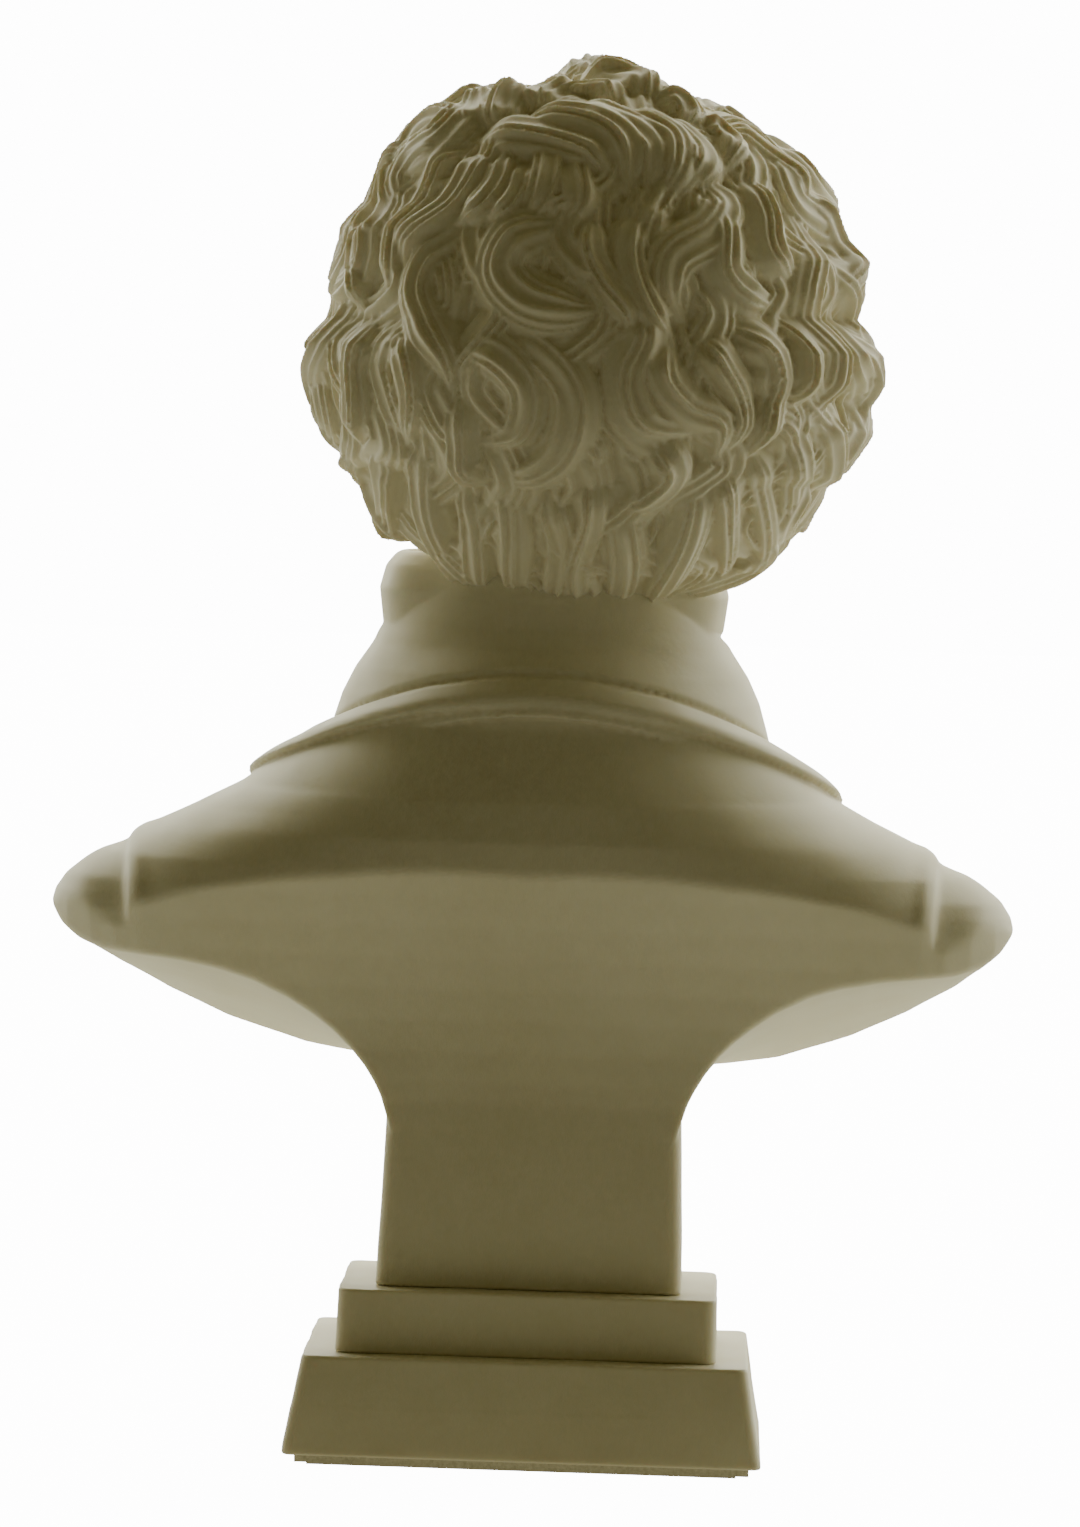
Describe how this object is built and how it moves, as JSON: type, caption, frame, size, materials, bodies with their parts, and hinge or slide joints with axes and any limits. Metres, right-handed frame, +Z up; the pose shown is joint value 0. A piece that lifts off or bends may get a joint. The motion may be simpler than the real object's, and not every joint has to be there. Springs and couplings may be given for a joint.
{
  "type": "marble bust",
  "caption": "Head-and-shoulders portrait bust with carved wavy hair and a coat collar, on a tapered shaft and a stepped plinth drawn together by a hidden tie rod, with felt underneath.",
  "frame": {"origin": "centre of the flat resting face under the plinth's felt pad", "axes": "+Z up, the shoulders face -Y, +X is the figure's left; the head turns about 15 degrees towards +X"},
  "size_m": [0.1504, 0.0871, 0.2198],
  "materials": {
    "marble": "honed",
    "cement": "matt",
    "steel": "zinc plated",
    "brass": "turned",
    "felt": "matt"
  },
  "bodies": {
    "root": {"head": "marble", "torso": "marble", "plinth_step": "marble", "plinth_block": "marble", "shaft_bedding": "cement", "step_bedding": "cement", "tie_rod": "steel", "rod_anchor": "brass", "tie_washer": "steel", "tie_nut": "steel", "neck_dowel": "steel", "shaft_pins": "brass", "step_pins": "brass", "felt_pad": "felt"}
  },
  "joints": []
}
